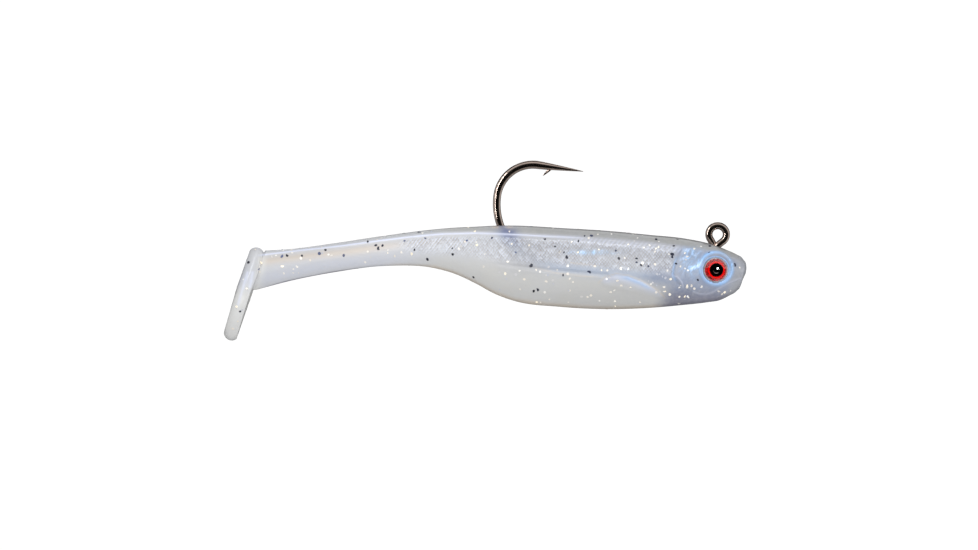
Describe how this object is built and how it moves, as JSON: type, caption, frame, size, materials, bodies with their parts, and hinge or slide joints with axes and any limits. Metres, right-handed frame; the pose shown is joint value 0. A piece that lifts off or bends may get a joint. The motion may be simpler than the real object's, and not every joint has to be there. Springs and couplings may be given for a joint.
{
  "type": "soft swimbait",
  "caption": "Soft paddle-tail swimbait moulded over a weighted jig head, with a barbed hook out of its back, a line tie on its head and 3-D eyes.",
  "frame": {"origin": "centre of the line tie, the ring at the front end of the hook", "axes": "+X to the nose along the body, +Y to the fish's left flank, +Z to its back, the side the hook leaves by"},
  "size_m": [0.102, 0.011, 0.035],
  "materials": {
    "soft_plastic": "translucent pearl, glossy, with glitter",
    "black_nickel": "polished black nickel",
    "lead": "bare cast lead",
    "flash_foil": "crinkled holographic foil",
    "red_iris": "red glitter",
    "black_pupil": "gloss black",
    "clear_dome": "clear epoxy"
  },
  "bodies": {
    "base": {"soft_body": "soft_plastic", "hook": "black_nickel", "lead_head": "lead", "flash_foil_left": "flash_foil", "flash_foil_right": "flash_foil", "iris_left": "red_iris", "iris_right": "red_iris", "pupil_left": "black_pupil", "pupil_right": "black_pupil", "eye_lens_left": "clear_dome", "eye_lens_right": "clear_dome"},
    "tail": {"tail_stem": "soft_plastic"},
    "paddle": {"tail_paddle": "soft_plastic"}
  },
  "joints": [
    {"name": "tail_flex", "type": "hinge", "parent": "base", "child": "tail", "pos_m": [-0.057, 0, -0.0028], "axis": [0, 0, 1], "range_deg": [-30, 30], "stiffness_Nm_per_rad": 0.004},
    {"name": "paddle_kick", "type": "hinge", "parent": "tail", "child": "paddle", "pos_m": [-0.0852, 0, -0.0062], "axis": [0, 0, 1], "range_deg": [-40, 40], "stiffness_Nm_per_rad": 0.001}
  ]
}
